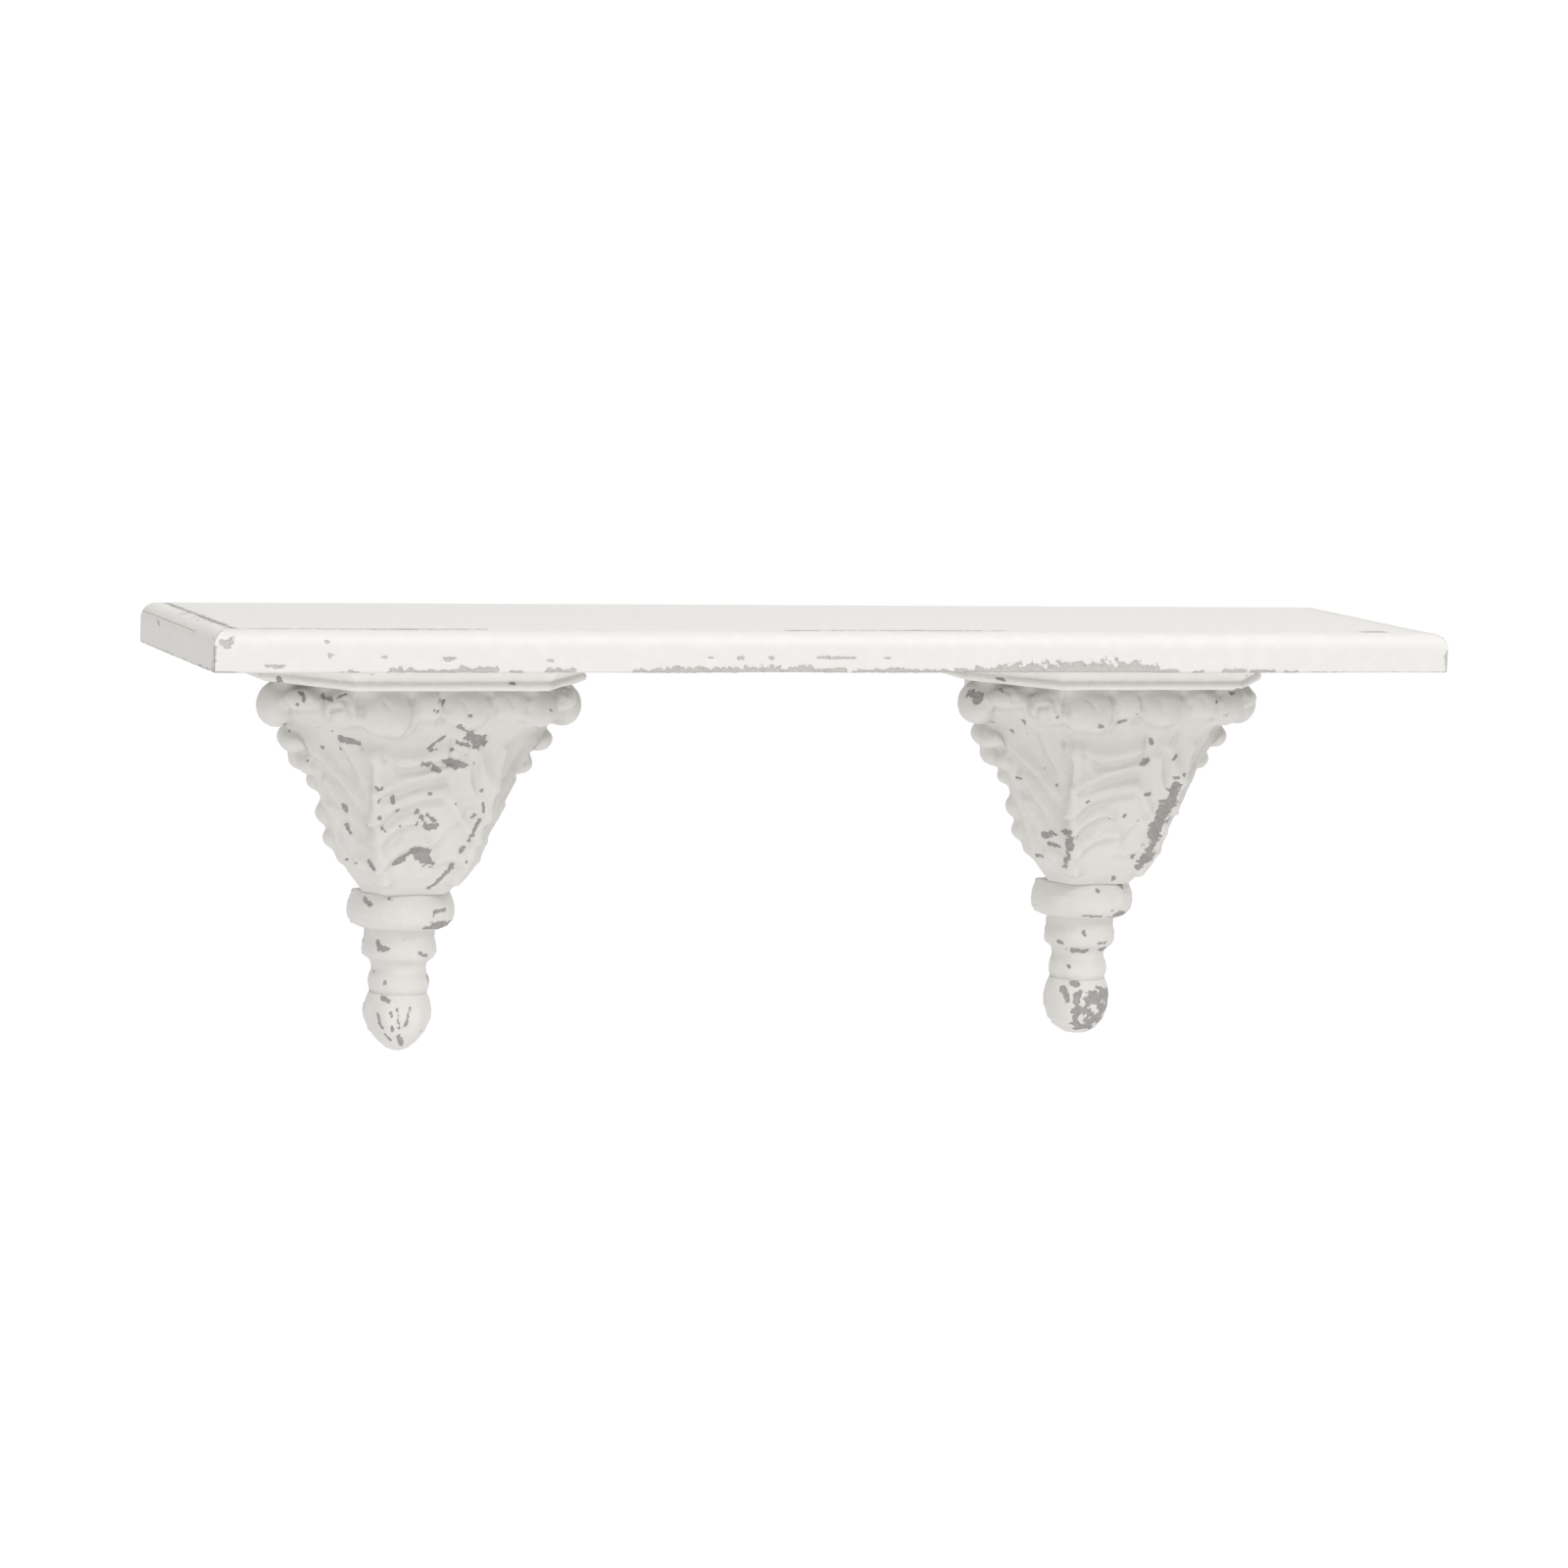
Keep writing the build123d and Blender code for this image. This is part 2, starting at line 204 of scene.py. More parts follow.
def hollows(piece):
    """Stores how hollow (positive) or proud (negative) the surface is at each vertex. The paint darkens the
    hollows with it as painted shade.
    """
    smoothings, scale = 8, 0.02
    places, normals = points_of(piece), normals_of(piece)
    ends = np.empty(len(piece.data.edges) * 2, dtype=np.int64)
    piece.data.edges.foreach_get("vertices", ends)
    one, two = ends.reshape(-1, 2).T
    count = np.bincount(ends, minlength=len(places))
    rise = np.zeros(len(places))
    for a, b in ((one, two), (two, one)):
        gap = places[b] - places[a]
        slope = (gap * normals[a]).sum(1) / np.maximum((gap ** 2).sum(1), 1e-12)
        rise += np.bincount(a, weights=slope, minlength=len(places))
    rise /= np.maximum(count, 1)
    for _ in range(smoothings):
        total = np.bincount(one, weights=rise[two], minlength=len(places))
        total += np.bincount(two, weights=rise[one], minlength=len(places))
        rise = 0.5 * rise + 0.5 * total / np.maximum(count, 1)
    write_attribute(piece, "hollow", np.clip(rise * scale, -1, 1))


class Nodes:
    """Small helper for wiring shader nodes by name."""

    def __init__(self, name):
        self.material = bpy.data.materials.new(name)
        self.material.use_nodes = True
        self.tree = self.material.node_tree
        self.shader = self.tree.nodes["Principled BSDF"]
        coords = self.tree.nodes.new("ShaderNodeTexCoord")
        self.place = coords.outputs["Object"]

    def link(self, value, socket):
        if isinstance(value, (int, float, tuple)):
            socket.default_value = value
        else:
            self.tree.links.new(value, socket)

    def math(self, kind, one, two=0.0):
        node = self.tree.nodes.new("ShaderNodeMath")
        node.operation = kind
        self.link(one, node.inputs[0])
        self.link(two, node.inputs[1])
        return node.outputs[0]

    def noise(self, size, detail=3.0, rough=0.55, stretch=(1, 1, 1), shift=0.0):
        where = self.tree.nodes.new("ShaderNodeMapping")
        where.inputs["Scale"].default_value = stretch
        where.inputs["Location"].default_value = (shift, shift * 0.7, -shift)
        self.link(self.place, where.inputs["Vector"])
        node = self.tree.nodes.new("ShaderNodeTexNoise")
        node.inputs["Scale"].default_value = 1 / size
        node.inputs["Detail"].default_value = detail
        node.inputs["Roughness"].default_value = rough
        self.link(where.outputs[0], node.inputs["Vector"])
        return node.outputs[0]

    def step(self, value, low, high):
        node = self.tree.nodes.new("ShaderNodeMapRange")
        node.interpolation_type = "SMOOTHSTEP"
        self.link(value, node.inputs["Value"])
        node.inputs["From Min"].default_value = low
        node.inputs["From Max"].default_value = high
        return node.outputs[0]

    def attribute(self, name):
        node = self.tree.nodes.new("ShaderNodeAttribute")
        node.attribute_name = name
        return node.outputs["Fac"]

    def mix(self, share, one, two):
        node = self.tree.nodes.new("ShaderNodeMix")
        node.data_type = "RGBA"
        self.link(share, node.inputs["Factor"])
        self.link(one, node.inputs["A"])
        self.link(two, node.inputs["B"])
        return node.outputs["Result"]

    def bump(self, height, distance, strength=1.0, under=None):
        node = self.tree.nodes.new("ShaderNodeBump")
        node.inputs["Distance"].default_value = distance
        node.inputs["Strength"].default_value = strength
        self.link(height, node.inputs["Height"])
        if under is not None:
            self.link(under, node.inputs["Normal"])
        return node.outputs[0]


def distressed_paint(name, white, shade_and_mottle_tint, ground, bare, pit_share, streak=(1, 1, 1)):
    """Thick white paint over a grey ground, with chips where 'worn' is high and small pits, and painted
    shade: a darker, warmer tint in the hollows, mixed with random cloudy mottling.
    """
    n = Nodes(name)
    cloud = n.noise(45 * MM, detail=4)
    mottle = n.noise(9 * MM, detail=4, shift=0.3)
    # Painted shade: the hollows, read from the 'hollow' attribute, take the darker, warmer tint, mixed with
    # random cloudy mottling.
    hollow = n.attribute("hollow")
    hollow_shade_and_mottle = n.math("ADD", n.math("MULTIPLY", hollow, 0.7), n.math("MULTIPLY", cloud, 0.35))
    paint = n.mix(n.step(hollow_shade_and_mottle, 0.15, 1.0), white, shade_and_mottle_tint)
    paler = tuple(min(1.0, c * 1.06) for c in white[:3]) + (1.0,)
    paint = n.mix(n.math("MULTIPLY", n.step(mottle, 0.45, 0.7), 0.5), paint, paler)

    ragged = n.noise(6 * MM, detail=7, rough=0.7, stretch=streak, shift=0.9)
    fine = n.noise(1.2 * MM, detail=3, shift=1.7)
    spread = n.math("ADD", n.math("MULTIPLY", ragged, 1.5), n.math("MULTIPLY", fine, 0.3))
    worn = n.math("ADD", n.attribute("worn"), n.math("SUBTRACT", spread, 0.9))
    pits = n.noise(7 * MM, detail=2, rough=0.5, shift=2.9)
    where_pits = n.noise(38 * MM, detail=1, shift=4.1)
    pitted = n.math("MULTIPLY", n.step(pits, 0.70 - pit_share, 0.73 - pit_share),
                    n.step(where_pits, 0.50, 0.60))
    chip = n.math("MAXIMUM", n.step(worn, 0.47, 0.53), pitted)
    rim = n.step(worn, 0.38, 0.47)

    scuffed = n.noise(2.4 * MM, detail=5, shift=6.3)
    old_ground = n.mix(n.step(scuffed, 0.35, 0.65), ground, bare)
    colour = n.mix(chip, paint, old_ground)
    n.link(colour, n.shader.inputs["Base Color"])

    brushed = n.noise(0.9 * MM, detail=3, stretch=streak, shift=7.7)
    lumps = n.noise(6 * MM, detail=3, shift=8.8)
    skin = n.bump(brushed, 0.08 * MM, 0.35)
    skin = n.bump(lumps, 0.5 * MM, 0.35, skin)
    broken = n.math("SUBTRACT", 1.0, n.math("ADD", n.math("MULTIPLY", chip, 0.8),
                                            n.math("MULTIPLY", rim, 0.2)))
    n.link(n.bump(broken, 0.5 * MM, 0.9, skin), n.shader.inputs["Normal"])
    n.link(n.math("ADD", 0.52, n.math("MULTIPLY", chip, 0.25)), n.shader.inputs["Roughness"])
    n.shader.inputs["Specular IOR Level"].default_value = 0.35
    return n.material


board_paint = distressed_paint(
    "board_paint", white=(0.515, 0.505, 0.489, 1), shade_and_mottle_tint=(0.505, 0.492, 0.455, 1),
    ground=(0.33, 0.325, 0.32, 1), bare=(0.38, 0.35, 0.325, 1), pit_share=-0.2, streak=(0.6, 1, 1))


def dress(piece, material, slot, *nodes):
    """Gives a piece its material and lets it stand for its CAD nodes. The slot is not used."""
    piece.data.materials.append(material)
    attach(piece, "root")
    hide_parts(*nodes)


def edging_blank(length, outer_sign, axis):
    """Square strip with its outer top edge run to a quarter round and a tongue inside.
    It lies along the axis given, with its outer side towards outer_sign on the other one."""
    across = 1 - axis
    bm = bmesh.new()
    bmesh.ops.create_cube(bm, size=1)
    size = [0, 0, board_top - board_under]
    size[axis], size[across] = length, edging_width
    bmesh.ops.scale(bm, vec=Vector(size), verts=bm.verts[:])
    middle = (board_top + board_under) / 2
    cut(bm, Vector((0, 0, tongue_half - middle)), Vector((0, 0, 1)))
    cut(bm, Vector((0, 0, -tongue_half - middle)), Vector((0, 0, 1)))
    inner = [f for f in bm.faces if f.normal[across] * outer_sign < -0.9
             and abs(f.calc_center_median().z + middle) < tongue_half]
    out = bmesh.ops.extrude_face_region(bm, geom=inner)
    push = Vector((0, 0, 0))
    push[across] = -outer_sign * tongue_depth
    pushed = [v for v in out["geom"] if isinstance(v, bmesh.types.BMVert)]
    bmesh.ops.translate(bm, vec=push, verts=pushed)
    bmesh.ops.delete(bm, geom=inner, context="FACES")
    half = size[2] / 2
    outer = outer_sign * edging_width / 2
    top = edges_along(bm, axis, lambda m: m.z > half * 0.99 and m[across] * outer_sign > 0)
    round_edges(bm, top, edging_round, 12)
    foot = edges_along(bm, axis, lambda m: m.z < -half * 0.99 and m[across] * outer_sign > 0)
    round_edges(bm, foot, edging_arris, 3)
    seams = edges_along(bm, axis, lambda m: abs(m.z) > half * 0.99 and abs(m[across] + outer) < MM / 2)
    round_edges(bm, seams, seam_round, 2)
    return bm


def on_front(x, z):
    """A point on the front of the board, given in millimetres along and up."""
    return Vector((x * MM, board_front, z * MM))


bm = edging_blank(2 * half_length, -1, 0)
bmesh.ops.translate(bm, vec=Vector((0, board_front + edging_width / 2, (board_top + board_under) / 2)),
                    verts=bm.verts[:])
for side in (-1, 1):
    corner = Vector((side * half_length, board_front, 0))
    cut(bm, corner, Vector((side, 1, 0)).normalized(), clear=True)
slice_every(bm, 0, fine_slice)
cut(bm, Vector((0, board_front + edging_width - seam_slice, 0)), Vector((0, 1, 0)))
slice_every(bm, 1, 2.5 * MM)
slice_every(bm, 2, fine_slice)
front_edging = finish_mesh(bm, "front_strip")
hand_work(front_edging, 0.5 * MM, 60 * MM, 1)
foot_z = -12.2
# chips along the lower edge: from, to and radius in millimetres
foot_marks = [(-405, -392, 0.7), (-328, -318, 1.3), (-296, -286, 2.9), (-286, -254, 1.6),
              (-254, -234, 2.9), (-223, -218, 1.4), (-200, -184, 2.0), (-144, -120, 1.8),
              (-120, -72, 2.6), (-72, -30, 3.2), (-30, -10, 2.2), (-1, 36, 2.0), (38, 80, 2.0),
              (80, 100, 3.4), (100, 130, 4.4), (130, 185, 6.0), (185, 200, 4.4), (200, 215, 2.4),
              (228, 233, 1.4), (250, 262, 1.9), (268, 283, 1.4), (292, 300, 0.9), (306, 405, 0.5)]
marks = [(on_front(a, foot_z), on_front(b, foot_z), r * MM) for a, b, r in foot_marks]
face_marks = [(-339, -337, 7, 1.1), (-336, -334, -2, 1.0), (-303, -301, -3, 1.0), (-266, -257, -4, 0.9),
              (-199, -197, -5, 1.1), (-58, -56, -3, 1.1), (-26, -2, -3.2, 0.9), (19, 21, -3, 1.0),
              (-375, -364, -8.5, 1.0), (-97, -95, -3, 0.9), (-78, -75, -3, 1.0)]
marks += [(on_front(a, z), on_front(b, z), r * MM) for a, b, z, r in face_marks]
corner_marks = [(-406.2, -12.5, -4, 1.0), (-406.2, -2, 3, 1.3), (406.2, -12.5, -7, 1.1),
                (406.2, -4, 1, 1.0)]
marks += [(on_front(x, low), on_front(x, high), r * MM) for x, low, high, r in corner_marks]
smear = Vector((0, 2.5 * MM, 0))
marks.append((on_front(-400, 4) + smear, on_front(-391, 6.5) + 2.2 * smear, 2.6 * MM))
seam_y = board_front + edging_width
seam_marks = [(-390, -371, 1.6), (-371, -361, 3.0), (-361, -291, 1.5), (-291, -280, 3.0),
              (-279, -234, 1.4), (-41, -34, 2.4), (-30, -22, 2.0), (-15, 15, 1.4), (22, 55, 2.4),
              (55, 107, 1.6), (354, 366, 4.2)]
marks += [(Vector((a * MM, seam_y, board_top)), Vector((b * MM, seam_y, board_top)), r * MM)
          for a, b, r in seam_marks]
hollows(front_edging)
wear_away(front_edging, marks)
dress(front_edging, board_paint, "board_paint", "front_edging")


# ------------------------------------------------------------------ end edgings
# The same strip runs along each end of the board, mitred to the front one. The left
# mitre and seam have opened a little, so their edges are chipped along most of it.

def on_end(side, y, z):
    """A point on the outer side of an end strip, given in millimetres back and up."""
    return Vector((side * half_length, y * MM, z * MM))


def on_top(x, y):
    """A point on the top of the board, with y in millimetres from the wall."""
    return Vector((x, y * MM, board_top))


board_depth = -board_front
end_marks = {
    "left": [((-180, -12.5), (-140, -12.5), 1.3), ((-140, -12.5), (0, -12.5), 0.9),
             ((-180, -12), (-180, -4), 1.0), ((-180, -2), (-180, 3), 1.2), ((-48, 3), (-42, 5), 0.9),
             ((-176, -11), (-175, -4), 0.8)],
    "right": [((-180, -12), (-168, -12), 1.6), ((-180, -12), (-180, 1), 0.8),
              ((-120, -12), (-90, -12), 1.8), ((-60, -12), (-30, -12), 1.4)],
}
top_marks = [(0, -6, 1.9), (-8, -19, 1.2), (-20, -26, 2.2), (-26, -58, 1.2), (-60, -70, 1.8),
             (-74, -104, 2.0), (-104, -122, 1.4), (-124, -146, 2.2), (-146, -163, 1.3)]
cracks = [(-396, -62, -394, -67, 1.2), (-396, -88, -391, -101, 1.1), (-400, -71, -396, -79, 1.1),
          (-395, -38, -392, -44, 1.1), (-398, -108, -392, -120, 1.2), (-397, -126, -392, -134, 1.3),
          (-394, -146, -391, -152, 1.5), (-399, -96, -395, -99, 1.0), (-395, -160, -391, -163, 1.3)]
for side_name, side in (("left", -1), ("right", 1)):
    bm = edging_blank(board_depth, side, 1)
    move = Vector((side * (half_length - edging_width / 2), board_front / 2, (board_top + board_under) / 2))
    bmesh.ops.translate(bm, vec=move, verts=bm.verts[:])
    corner = Vector((side * half_length, board_front, 0))
    cut(bm, corner, Vector((-side, -1, 0)).normalized(), clear=True)
    slice_every(bm, 1, 1.2 * MM)
    cut(bm, Vector((side * (half_length - edging_width + seam_slice), 0, 0)), Vector((1, 0, 0)))
    slice_every(bm, 0, 1.3 * MM)
    slice_every(bm, 2, fine_slice)
    strip = finish_mesh(bm, side_name + "_strip")
    hand_work(strip, 0.5 * MM, 60 * MM, 2 + side)
    marks = [(on_end(side, *a), on_end(side, *b), r * MM) for a, b, r in end_marks[side_name]]
    if side < 0:
        seam_x = side * (half_length - edging_width)
        for a, b, r in top_marks:
            marks.append((on_top(seam_x, a), on_top(seam_x, b), r * MM))
        for x0, y0, x1, y1, r in cracks:
            marks.append((on_top(x0 * MM, y0), on_top(x1 * MM, y1), r * MM))
    hollows(strip)
    wear_away(strip, marks)
    dress(strip, board_paint, "board_paint", side_name + "_edging")


# ------------------------------------------------------------------ panel
# The middle of the board is one flat panel, grooved on three edges for the strips'
# tongues. Its edges are eased, so that a fine seam shows where the paint has cracked.

panel_low, panel_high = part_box("shelf_panel")
glue_gap = 0.15 * MM
groove_half = tongue_half + glue_gap
groove_depth = tongue_depth + glue_gap

bm = bmesh.new()
bmesh.ops.create_cube(bm, size=1)
bmesh.ops.scale(bm, vec=panel_high - panel_low, verts=bm.verts[:])
bmesh.ops.translate(bm, vec=(panel_high + panel_low) / 2, verts=bm.verts[:])
rims = [e for e in bm.edges if abs(e.verts[0].co.z - e.verts[1].co.z) < 1e-6
        and not all(v.co.y > panel_high.y - MM for v in e.verts)]
round_edges(bm, rims, seam_round, 2)
slice_every(bm, 0, 5 * MM)
slice_every(bm, 1, 4 * MM)
cut(bm, Vector((0, panel_low.y + seam_slice, 0)), Vector((0, 1, 0)))
cut(bm, Vector((panel_low.x + seam_slice, 0, 0)), Vector((1, 0, 0)))
panel = finish_mesh(bm, "flat_panel")
cutters = []
for low, high in (
        ((panel_low.x - MM, panel_low.y - MM), (panel_high.x + MM, panel_low.y + groove_depth)),
        ((panel_low.x - MM, panel_low.y - MM), (panel_low.x + groove_depth, panel_high.y + MM)),
        ((panel_high.x - groove_depth, panel_low.y - MM), (panel_high.x + MM, panel_high.y + MM))):
    bm = bmesh.new()
    bmesh.ops.create_cube(bm, size=1)
    size = Vector((high[0] - low[0], high[1] - low[1], 2 * groove_half))
    middle = Vector(((high[0] + low[0]) / 2, (high[1] + low[1]) / 2, 0))
    bmesh.ops.scale(bm, vec=size, verts=bm.verts[:])
    bmesh.ops.translate(bm, vec=middle, verts=bm.verts[:])
    cutters.append(finish_mesh(bm, "groove_cutter"))


def carve_out(piece, cutters):
    """Takes cutters out of a piece with exact booleans and throws the cutters away."""
    for cutter in cutters:
        tool = piece.modifiers.new("cut", "BOOLEAN")
        tool.operation, tool.solver, tool.object = "DIFFERENCE", "EXACT", cutter
    apply_modifiers(piece)
    for cutter in cutters:
        bpy.data.objects.remove(cutter)


def apply_modifiers(piece):
    """Replaces a piece's mesh with what its modifiers make of it."""
    bpy.context.view_layer.update()
    shaped = piece.evaluated_get(bpy.context.evaluated_depsgraph_get())
    mesh = bpy.data.meshes.new_from_object(shaped)
    old = piece.data
    piece.modifiers.clear()
    piece.data = mesh
    bpy.data.meshes.remove(old)


carve_out(panel, cutters)
hand_work(panel, 0.35 * MM, 90 * MM, 5)
hollows(panel)
marks = [(Vector((a * MM, panel_low.y, board_top)), Vector((b * MM, panel_low.y, board_top)), r * MM)
         for a, b, r in seam_marks]
marks += [(on_top(panel_low.x, a), on_top(panel_low.x, b), r * MM) for a, b, r in top_marks]
wear_away(panel, marks)
dress(panel, board_paint, "board_paint", "shelf_panel")


# ------------------------------------------------------------------ abacus
# Each corbel is a casting of one carved pattern. It starts with a flat slab under the
# board: a narrow fascia, a slope under it, and a soft bead where the carving begins.

slab_boxes = {name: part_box(name + "_abacus") for name in ("left", "right")}
corbel_x = {name: (low.x + high.x) / 2 for name, (low, high) in slab_boxes.items()}
abacus_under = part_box("left_abacus")[0].z
abacus_wide, abacus_side = 113 * MM, 42 * MM
abacus_front, abacus_depth = 67 * MM, 112 * MM
rough_step = 1.2 * MM


def half_octagon(wide, side, front, depth, behind=0.0, tuck=0.0):
    """Corners of a plan with canted sides, from the wall round the front to the wall. It
    goes on past the wall by behind, and comes in there by tuck."""
    near_wall = wide - tuck
    return [(near_wall, behind), (wide, -side), (front, -depth), (-front, -depth), (-wide, -side),
            (-near_wall, behind)]


def inset_plan(t):
    """Plan of the abacus with every side moved in by t."""
    run = Vector((abacus_wide - abacus_front, abacus_depth - abacus_side))
    slope = run.y / run.x
    in_x = t * run.length / run.y
    wide, depth = abacus_wide - t, abacus_depth - t
    side = abacus_side + (in_x - t) * slope
    front = abacus_wide - in_x - (depth - abacus_side) / slope
    return half_octagon(wide, side, front, depth)


def ring(corners, level, counts):
    """Points along a closed outline at one level, with so many for each of its sides."""
    points = []
    for count, a, b in zip(counts, corners, corners[1:] + corners[:1]):
        for k in range(count):
            s = k / count
            points.append(Vector((a[0] * (1 - s) + b[0] * s, a[1] * (1 - s) + b[1] * s, level)))
    return points


def stack(bm, rings):
    """Skins a pile of rings with equal counts and closes both ends."""
    made = [[bm.verts.new(p) for p in one] for one in rings]
    for low, high in zip(made, made[1:]):
        for i in range(len(low)):
            j = (i + 1) % len(low)
            bm.faces.new((low[i], low[j], high[j], high[i]))
    bm.faces.new(made[0])
    bm.faces.new(list(reversed(made[-1])))


def soften(piece, times):
    """Rounds a mesh off by moving every vertex half way to the middle of its neighbours."""
    places = points_of(piece)
    ends = np.empty(len(piece.data.edges) * 2, dtype=np.int64)
    piece.data.edges.foreach_get("vertices", ends)
    one, two = ends.reshape(-1, 2).T
    count = np.bincount(ends, minlength=len(places))[:, None]
    for _ in range(times):
        total = np.zeros_like(places)
        for k in range(3):
            total[:, k] = np.bincount(one, weights=places[two, k], minlength=len(places))
            total[:, k] += np.bincount(two, weights=places[one, k], minlength=len(places))
        places = places + 0.5 * (total / count - places)
    move_points(piece, places)


def remesh(piece, size):
    """Rebuilds a piece as one closed skin of small even faces."""
    tool = piece.modifiers.new("remesh", "REMESH")
    tool.mode, tool.voxel_size, tool.adaptivity = "VOXEL", size, 0
    apply_modifiers(piece)


def on_face(piece, x, z):
    """Point of a piece met by going straight back from the front at x, z in metres."""
    hit, place, _, _ = piece.ray_cast(Vector((x, -1, z)), Vector((0, 1, 0)))
    return place if hit else None


def face_marks_on(piece, centre, level, marks):
    """Turns marks drawn on the front view, in millimetres from a centre and down, into places."""
    found = []
    for x0, h0, x1, h1, radius in marks:
        a = on_face(piece, centre + x0 * MM, level - h0 * MM)
        b = on_face(piece, centre + x1 * MM, level - h1 * MM)
        if a is not None and b is not None:
            found.append((a, b, radius * MM))
    return found


corbel_paint = distressed_paint(
    "corbel_paint", white=(0.52, 0.506, 0.484, 1), shade_and_mottle_tint=(0.505, 0.49, 0.45, 1),
    ground=(0.23, 0.227, 0.222, 1), bare=(0.28, 0.262, 0.245, 1), pit_share=0.0)
# A lighter copy of the corbel paint: painted light that makes up for the shadow the board casts on the
# slab.
slab_paint_lit_copy = distressed_paint(
    "slab_paint_lit_copy", white=(0.615, 0.6, 0.575, 1), shade_and_mottle_tint=(0.575, 0.557, 0.52, 1),
    ground=(0.23, 0.227, 0.222, 1), bare=(0.28, 0.262, 0.245, 1), pit_share=-0.05)
slab_counts = (14, 28, 52, 28, 14, 60)
# level and how far in, from the top of the slab to the carving
abacus_profile = [(-12.7, 0), (-15.5, 0), (-18.4, 0), (-19.4, 0.5), (-20.6, 2.2), (-22.4, 4.2),
                  (-24.6, 6.2), (-25.7, 7.6), (-26.3, 8.3), (-27.0, 7.9), (-28.0, 7.0), (-29.3, 6.8),
                  (-30.6, 7.2), (-31.6, 8.2), (-32.2, 9.8)]
slab_marks = {
    "left": [(-98, -3, -97, -2, 2.0), (-60, -11, -52, -11, 0.9), (36, -5, 39, -5, 0.9),
             (20, -14, 23, -14, 0.7)],
    "right": [(-65, 0, -52, 0, 1.2), (60, -1, 65, -1, 1.5), (64, -10, 64, -9, 1.2),
              (92, -8, 96, -7, 1.0), (-92, -4, -88, -3, 0.9)],
}
for side_name, centre in corbel_x.items():
    bm = bmesh.new()
    stack(bm, [ring(inset_plan(t * MM), z * MM, slab_counts) for z, t in reversed(abacus_profile)])
    for v in bm.verts:
        v.co.x += centre
    slab = finish_mesh(bm, side_name + "_slab")
    hand_work(slab, 0.7 * MM, 28 * MM, 11 + centre)
    hollows(slab)
    wear_away(slab, face_marks_on(slab, centre, abacus_under, slab_marks[side_name]), 0.3 * MM)
    dress(slab, slab_paint_lit_copy, "corbel_paint", side_name + "_abacus")


# ------------------------------------------------------------------ bell
# The bell is the carved body: fat scrolls under the corners of the slab, a row of
# rolled leaf ends between them, and a leaf on each front ridge whose lobes sweep up
# to the edges. Its back is a separate flat board, 9.5 mm thick, with the hanger in it.

bell_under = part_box("left_bell")[0].z
back_board = -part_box("left_back_board")[0].y
plate_gap = 0.15 * MM
pocket_wide, pocket_high, pocket_drop = 6.5 * MM, 12.0 * MM, -1.5 * MM
recess_sides = 48
# depth below the slab, half width, start of the cant, half width of the front, depth of the front
bell_levels = [
    (-6, 97, 42, 58, 93), (0, 97, 42, 58, 93), (12, 96, 41, 57, 92), (22, 92, 38, 53, 90),
    (32, 82, 32, 43, 85), (42, 77, 29, 40, 81), (52, 70, 28, 39, 78), (65, 65, 28, 37.5, 74),
    (76, 61, 27, 35.5, 69), (88, 55.5, 26, 32.5, 63), (98, 52, 25, 31.5, 59),
    (112, 47.5, 23, 29.5, 53), (122, 41.5, 21, 27.5, 48), (130, 34.5, 18, 24, 42),
    (136, 30, 16, 19.5, 36), (142, 27, 15, 16, 30)]
# x, y, depth below the slab and the three half sizes of each roll of the top row
top_rolls = [
    (-93, -36, 15, 13.5, 17, 15), (93, -36, 15, 12.5, 17, 15), (-80, -60, 9, 16, 15, 9),
    (80, -60, 9, 15, 15, 9), (-62, -80, 13, 15, 15, 13), (61, -81, 13, 15, 14, 13),
    (-37, -88, 15, 22, 12, 15), (-32, -88, 20, 15, 10, 11), (-11, -89, 10, 16, 10, 11),
    (13, -89, 13, 19, 11.5, 13.5), (38, -88, 10, 22, 12, 12), (52, -87, 12, 15, 12, 12)]
# leaf tips along the wide edge, for one side: x, y, depth below the slab, size, depth size
edge_tips = [(75, -9, 38, 11, 12), (67, -8, 51, 11.5, 11), (57.5, -8, 66, 8.5, 9),
             (48, -8, 86, 11.5, 10), (43.5, -8, 102, 10.5, 10), (36, -9, 113, 10, 10),
             (80, -30, 38, 10, 9), (68, -30, 53, 9.5, 9)]


def blob(bm, place, sizes):
    """Adds an egg-shaped lump."""
    stretch = Matrix.Diagonal([size * MM for size in sizes]).to_4x4()
    where = Matrix.Translation(Vector(place) * MM) @ stretch
    bmesh.ops.create_uvsphere(bm, u_segments=32, v_segments=20, radius=1, matrix=where)


def carve(piece, strokes, strength):
    """Raises or cuts soft ridges and grooves. A stroke is its (x, depth) points, its half
    width and its height in millimetres, negative for a groove."""
    falloff = 1.6
    places, normals = points_of(piece), normals_of(piece)
    lift = np.zeros(len(places))
    for path, width, height in strokes:
        line = [on_face(piece, x * MM, -h * MM) for x, h in path]
        line = [p for p in line if p is not None]
        if len(line) < 2:
            continue
        near = np.min([segment_distance(places, a, b) for a, b in zip(line, line[1:])], axis=0)
        lift += strength * height * MM * np.exp(-((near / (width * MM)) ** 2) * falloff)
    move_points(piece, places + normals * lift[:, None])


def mirrored(strokes):
    """A set of strokes and the same set across the middle of the corbel."""
    return strokes + [([(-x, h) for x, h in path], width, height) for path, width, height in strokes]


